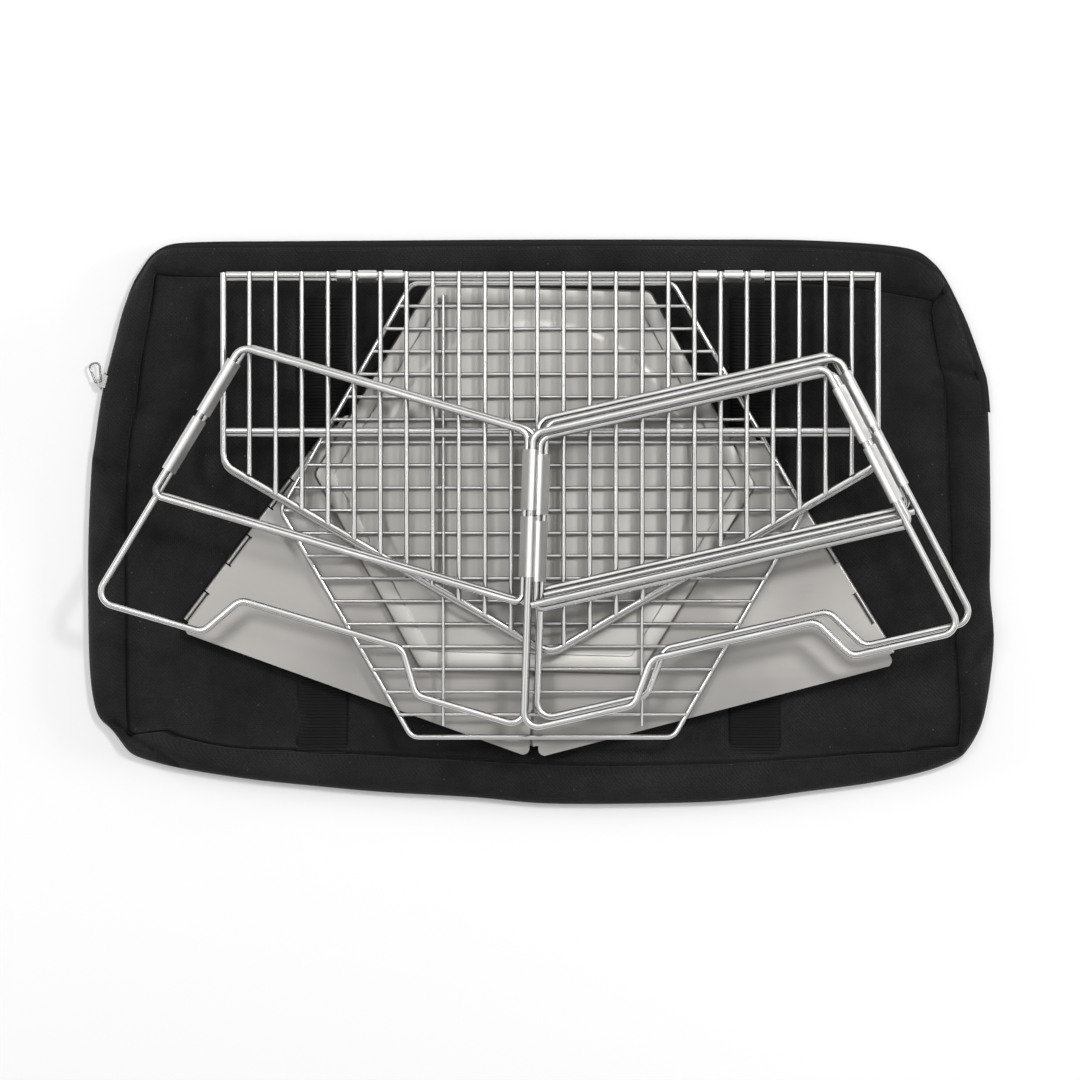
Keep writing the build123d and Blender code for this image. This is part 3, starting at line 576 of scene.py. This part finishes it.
def makeStrap(side, centre):
    width, rib, under, columns = (strapLooks[k] for k in ("width", "rib", "under", "columns"))
    ys = np.arange(strapLooks["front"], strapLooks["back"], strapLooks["spacing"])
    verts, faces = [], []
    for y in ys:
        drift = 0.5 * math.sin(y / 23 + centre)
        for c in range(columns + 1):
            u = 2 * c / columns - 1
            x = centre + drift + u * width / 2
            edge = 1 - abs(u) ** 10
            ribPhase = 2 * math.pi * y / rib + 0.4 * math.sin(9 * u)
            z = strapLooks["top"] - 0.5 + strapLooks["ribHeight"] * edge * math.sin(ribPhase)
            z -= 0.5 * max(0.0, (-140 - y) / 9) * 4
            verts.append((x * mm, y * mm, (z - 0.7 * (1 - edge)) * mm))
        verts.append(((centre + drift + width / 2) * mm, y * mm, under * mm))
        verts.append(((centre + drift - width / 2) * mm, y * mm, under * mm))
    row = columns + 3
    for r in range(len(ys) - 1):
        for c in range(row):
            d = (c + 1) % row
            faces.append((r * row + c, r * row + d, (r + 1) * row + d, (r + 1) * row + c))
    faces.append(list(reversed(range(row))))
    faces.append(list(range((len(ys) - 1) * row, len(ys) * row)))
    strap = meshPiece(f"strap{side.title()}", verts, faces, "bag", webbing)
    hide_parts(f"bag_strap_{side}")


for side, centre in strapLooks["places"].items():
    makeStrap(side, centre)
print("straps made")

# zip: the coil runs along the bag's outer edge from side seam to side seam
zipLooks = {
    "pitch": 1.25, "tooth": 0.62, "row": 0.85, "height": 6.5, "leftEnd": 85.0, "rightEnd": 70.0, "tapeSpacing": 1.6,
    # on the slider's straight stretch the zip is drawn in to the slider's own line: places along y and by how much
    "drawnInAt": [85.0, 110.0, 134.0, 152.0], "drawnInBy": [1.37, 1.37, 2.2, 0.0],
    # the tape's section, outwards and up, with the filler cord inside the coil as its outermost edge
    "tape": [(-4.6, 11.4), (-3.4, 11.4), (-2.2, 10.9), (-1.2, 9.9), (-0.4, 8.6), (0.9, 6.9), (0.9, 6.1), (-0.4, 3.6),
             (-1.4, 3.6), (-1.8, 8.0), (-4.4, 10.2)],
}


def bandPath(spacing):
    # points every spacing mm along the outer edge between the side seams, with outward normals
    start = next(i for i in range(len(bagOuter) - 1, 0, -1) if bagOuter[i][1] < zipLooks["rightEnd"])
    line = np.vstack([bagOuter[start:], bagOuter])
    pastBack = len(bagOuter) - start + bagShape["columns"][0]
    end = next(i for i in range(pastBack, len(line)) if line[i][1] < zipLooks["leftEnd"])
    line = line[:end + 1]
    run = np.concatenate([[0], np.cumsum(np.hypot(*np.diff(line, axis=0).T))])
    at = np.arange(0, run[-1], spacing)
    points = np.stack([np.interp(at, run, line[:, k]) for k in (0, 1)], 1)
    ahead = np.gradient(points, axis=0)
    ahead /= np.hypot(*ahead.T)[:, None]
    out = np.column_stack([ahead[:, 1], -ahead[:, 0]])
    left = points[:, 0] < 0
    drawnIn = np.interp(points[:, 1], zipLooks["drawnInAt"], zipLooks["drawnInBy"]) * left
    return points - out * drawnIn[:, None], ahead, out


def tube(points, radius, sides=5):
    # one closed capsule of a tube through the points
    verts, faces = [], []
    pts = [Vector(p) for p in points]
    for i, p in enumerate(pts):
        ahead = (pts[min(i + 1, len(pts) - 1)] - pts[max(i - 1, 0)]).normalized()
        side = ahead.cross(Vector((0, 0, 1)))
        side = side.normalized() if side.length > 1e-6 else Vector((1, 0, 0))
        up = side.cross(ahead)
        for k in range(sides):
            a = 2 * math.pi * k / sides
            verts.append(p + radius * (math.cos(a) * side + math.sin(a) * up))
    for i in range(len(pts) - 1):
        for k in range(sides):
            m = (k + 1) % sides
            faces.append((i * sides + k, i * sides + m, (i + 1) * sides + m, (i + 1) * sides + k))
    faces.append(list(reversed(range(sides))))
    faces.append(list(range((len(pts) - 1) * sides, len(pts) * sides)))
    return verts, faces


def joined(parts):
    verts, faces = [], []
    for v, f in parts:
        base = len(verts)
        verts.extend(v)
        faces.extend([[base + i for i in face] for face in f])
    return verts, faces


def makeZip():
    points, ahead, out = bandPath(zipLooks["pitch"] / 2)
    parts = []
    for i, (p, a, o) in enumerate(zip(points, ahead, out)):
        sign = 1 if i % 2 else -1
        centre = p + o * 0.1
        z = zipLooks["height"]
        shape = []
        for t in (-1.0, -0.45, 0.2, 0.75):
            across = sign * t * zipLooks["row"]
            lift = 0.55 * (1 - t * t)
            spot = centre + o * (0.45 + 0.75 * across * 0.7 + lift) + a * 0.12 * t
            shape.append(Vector((*spot, z - across * 0.9 + lift * 0.5)) * mm)
        parts.append(tube(shape, zipLooks["tooth"] / 2 * mm))
    verts, faces = joined(parts)
    coil = meshPiece("zipCoil", verts, faces, "bag", coilNylon)
    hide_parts("zip_teeth")

    points, ahead, out = bandPath(zipLooks["tapeSpacing"])
    profile = zipLooks["tape"]
    tapeVerts, tapeFaces = [], []
    for p, o in zip(points, out):
        for reach, z in profile:
            tapeVerts.append(Vector((*(p + o * reach), z)) * mm)
    n = len(profile)
    for i in range(len(points) - 1):
        for k in range(n):
            m = (k + 1) % n
            tapeFaces.append((i * n + k, i * n + m, (i + 1) * n + m, (i + 1) * n + k))
    tapeFaces.append(list(range(n)))
    tapeFaces.append(list(reversed(range((len(points) - 1) * n, len(points) * n))))
    tape = meshPiece("zipTape", tapeVerts, tapeFaces, "bag", zipTapeCloth)
    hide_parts("zip_tape")


makeZip()
print("zip made")

# stitches: one thread loop every 3 mm, laid along the cloth's surface
stitchLooks = {
    "pitch": 3.0, "length": 2.3, "thread": 0.4, "fromEdge": 5.2,
    # two rows across each side seam, where the zip ends
    "rows": [((-276, 87.5), (-256, 84.5)), ((-276.5, 84.5), (-256.5, 81.5)), ((281, 70.5), (257.5, 70)),
             ((281, 67), (257.5, 66.5))],
}


def clothSurface():
    tree = bmesh.new()
    tree.from_mesh(bagShell.data)
    surface = BVHTree.FromBMesh(tree)
    tree.free()
    return surface


surface = clothSurface()


def topOf(x, y):
    hit = surface.ray_cast(Vector((x * mm, y * mm, 0.05)), Vector((0, 0, -1)))
    return hit[0].z if hit[0] else bagShape["panelHeight"] * mm


def stitchLine(line):
    run = np.concatenate([[0], np.cumsum(np.hypot(*np.diff(line, axis=0).T))])
    parts = []
    for s in np.arange(0, run[-1] - stitchLooks["length"], stitchLooks["pitch"]):
        shape = []
        for t in (0, 0.25, 0.75, 1):
            x, y = (np.interp(s + t * stitchLooks["length"], run, line[:, k]) for k in (0, 1))
            sink = 0.12 if t in (0, 1) else -0.12
            shape.append(Vector((x * mm, y * mm, topOf(x, y) - sink * mm)))
        parts.append(tube(shape, stitchLooks["thread"] / 2 * mm))
    return parts


def makeStitches():
    points, ahead, out = bandPath(1.0)
    parts = stitchLine(points - out * stitchLooks["fromEdge"])
    for row in stitchLooks["rows"]:
        parts += stitchLine(np.array(row, float))
    verts, faces = joined(parts)
    meshPiece("topStitches", verts, faces, "bag", topThread)


makeStitches()
print("stitches made")

# floor, lights and camera: a pale table under a light tent, seen from straight above
lightLooks = {
    "tent": [(0.0, 0.06), (0.2, 0.12), (0.34, 0.5), (0.46, 0.95), (0.9, 0.95), (0.96, 0.6), (1.0, 0.55)],
    "front": 0.55, "fill": 0.3, "floorGlow": 0.18, "floorSize": 3.0, "floorGrey": 0.86,
    # name: place and size in metres, watts, and whether it shows as a highlight
    "lamps": {
        "keyLamp": ((0.62, 0.6, 1.9), (0.32, 0.32), 15.0, True),
        "secondLamp": ((-0.5, 0.42, 2.1), (0.45, 0.35), 6.0, True),
        "leftRake": ((-2.0, 0.5, 0.55), (1.2, 0.5), 26.0, False),
        "rightRake": ((2.0, 0.1, 0.55), (1.2, 0.5), 26.0, False),
    },
}


def makeFloor():
    material, tree = newMaterial("paleFloor")
    path = addNode(tree, "ShaderNodeLightPath")
    seen = addNode(
        tree, "ShaderNodeMath", {"operation": "MAXIMUM"},
        {0: path.outputs["Is Camera Ray"], 1: path.outputs["Is Glossy Ray"]},
    )
    diffuse = addNode(tree, "ShaderNodeBsdfDiffuse", {"inputs": {"Color": grey(lightLooks["floorGrey"])}})
    dim = addNode(
        tree, "ShaderNodeMath", {"operation": "MULTIPLY", "inputs": {1: lightLooks["floorGlow"]}},
        {0: seen.outputs[0]},
    )
    glow = addNode(tree, "ShaderNodeEmission", {"inputs": {"Color": grey(1.0)}}, {"Strength": dim.outputs[0]})
    both = addNode(tree, "ShaderNodeAddShader", links={0: diffuse.outputs[0], 1: glow.outputs[0]})
    closeMaterial(tree, both)
    size = lightLooks["floorSize"]
    mesh = bpy.data.meshes.new("floor")
    mesh.from_pydata([(-size, -size, 0), (size, -size, 0), (size, size, 0), (-size, size, 0)], [], [(0, 1, 2, 3)])
    floor = bpy.data.objects.new("floor", mesh)
    bpy.context.scene.collection.objects.link(floor)
    mesh.materials.append(material)


def makeWorld():
    world = bpy.data.worlds.new("lightTent")
    bpy.context.scene.world = world
    world.use_nodes = True
    tree = world.node_tree
    tree.nodes.clear()
    direction = addNode(tree, "ShaderNodeTexCoord").outputs["Generated"]
    parts = addNode(tree, "ShaderNodeSeparateXYZ", links={0: direction})
    rise = addNode(tree, "ShaderNodeValToRGB", links={0: parts.outputs[2]})
    setRamp(rise, [(height, grey(level)) for height, level in lightLooks["tent"]])
    back = addNode(
        tree, "ShaderNodeMapRange", {"inputs": {1: -0.45, 2: 0.12, 3: lightLooks["front"], 4: 1.0}},
        {0: parts.outputs[1]},
    )
    tent = addNode(
        tree, "ShaderNodeMix", {"data_type": "RGBA", "blend_type": "MULTIPLY", "inputs": {0: 1.0}},
        {6: rise.outputs[0], 7: back.outputs[0]},
    )
    path = addNode(tree, "ShaderNodeLightPath")
    # glossy rays see the graded tent, diffuse rays a plain grey, and the camera sees white behind the object
    mirrored = addNode(
        tree, "ShaderNodeMix", {"data_type": "RGBA", "inputs": {6: grey(lightLooks["fill"])}},
        {0: path.outputs["Is Glossy Ray"], 7: tent.outputs[2]},
    )
    seen = addNode(
        tree, "ShaderNodeMix", {"data_type": "RGBA", "inputs": {7: grey(1.0)}},
        {0: path.outputs["Is Camera Ray"], 6: mirrored.outputs[2]},
    )
    sky = addNode(tree, "ShaderNodeBackground", links={"Color": seen.outputs[2]})
    addNode(tree, "ShaderNodeOutputWorld", links={"Surface": sky.outputs[0]})


def addLamp(name, place, size, watts, glossy):
    lamp = bpy.data.lights.new(name, "AREA")
    lamp.shape = "RECTANGLE"
    lamp.size, lamp.size_y = size
    lamp.energy = watts
    holder = bpy.data.objects.new(name, lamp)
    bpy.context.scene.collection.objects.link(holder)
    holder.location = place
    holder.rotation_euler = (-Vector(place)).to_track_quat("-Z", "Y").to_euler()
    holder.visible_glossy = glossy


# the photo is 1080 px wide and 0.633 mm to the pixel, with the bag's middle at 541, 521.5
cameraPlace = {"away": 7.0, "pixel": 0.633 * mm, "width": 1080, "right": -1.0, "up": -18.5, "sensor": 36.0}


def makeCamera():
    away, pixel, sensor = (cameraPlace[k] for k in ("away", "pixel", "sensor"))
    camera = bpy.data.cameras.new("above")
    camera.sensor_width = sensor
    camera.lens = sensor * away / (cameraPlace["width"] * pixel)
    camera.clip_end = 50.0
    holder = bpy.data.objects.new("above", camera)
    bpy.context.scene.collection.objects.link(holder)
    holder.location = (cameraPlace["right"] * pixel, cameraPlace["up"] * pixel, away)
    bpy.context.scene.camera = holder


makeFloor()
makeWorld()
for name, (place, size, watts, glossy) in lightLooks["lamps"].items():
    addLamp(name, place, size, watts, glossy)
makeCamera()
bpy.context.scene.view_settings.view_transform = "Standard"
print("stage made")
